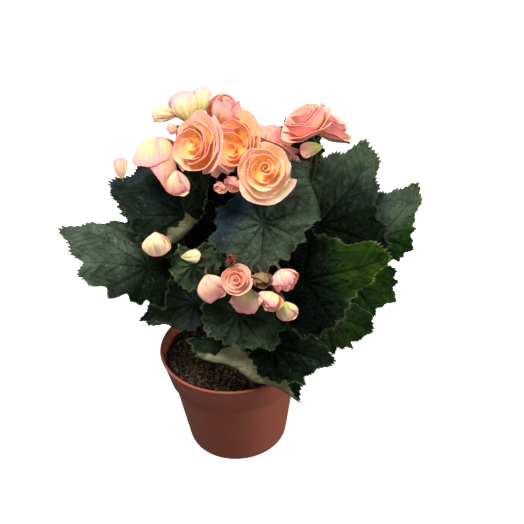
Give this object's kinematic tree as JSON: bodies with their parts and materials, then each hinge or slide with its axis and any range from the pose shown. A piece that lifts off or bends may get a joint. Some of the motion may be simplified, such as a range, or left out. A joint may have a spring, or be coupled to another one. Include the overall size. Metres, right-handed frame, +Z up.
{
  "type": "potted begonia",
  "caption": "Leafy double-flowered begonia with rose-shaped salmon, peach and pink blooms and buds, in a tapered terracotta-coloured plastic pot with soil, standing on its base.",
  "frame": {"origin": "middle of the pot's flat base, on the surface that it stands on", "axes": "+Z up; -Y towards the front, the side that the picture shows; +X to the right seen from the front"},
  "size_m": [0.3102, 0.2257, 0.3348],
  "materials": {
    "pot": "satin terracotta-coloured moulded plastic",
    "soil": "moist dark peat with tan fibres and a mossy patch",
    "foliage": "dark green leaf, slightly glossy, paler below, with sunken veins and short hairs",
    "petal": "soft satin petal, peach to salmon with pink edges",
    "bud": "soft satin petal, cream with pink edges and green base"
  },
  "bodies": {
    "root": {"pot": "pot", "soil": "soil", "shoot_back": "foliage", "shoot_east": "foliage", "shoot_front": "foliage", "shoot_middle": "foliage", "shoot_northeast": "foliage", "shoot_northwest": "foliage", "shoot_west": "foliage", "bloom_back_left": "petal", "bloom_back_right": "petal", "bloom_behind": "petal", "bloom_crown": "petal", "bloom_front": "petal", "bloom_left": "petal", "bloom_low": "petal", "bloom_right": "petal", "bloom_right_left": "petal", "bloom_top_left": "petal", "bloom_top_middle": "petal", "bud_back": "bud", "bud_crown_large": "bud", "bud_crown_side": "bud", "bud_crown_small": "bud", "bud_crown_tall": "bud", "bud_dim": "bud", "bud_faded": "bud", "bud_hanging": "bud", "bud_left_tip": "bud", "bud_low_bottom": "bud", "bud_low_green": "bud", "bud_low_left": "bud", "bud_low_pink": "bud", "bud_low_right": "bud", "bud_opening_middle": "bud", "bud_right_low": "bud", "bud_small_middle": "bud", "bud_tucked": "bud", "bud_white": "bud", "bud_yellow": "bud"}
  },
  "joints": []
}
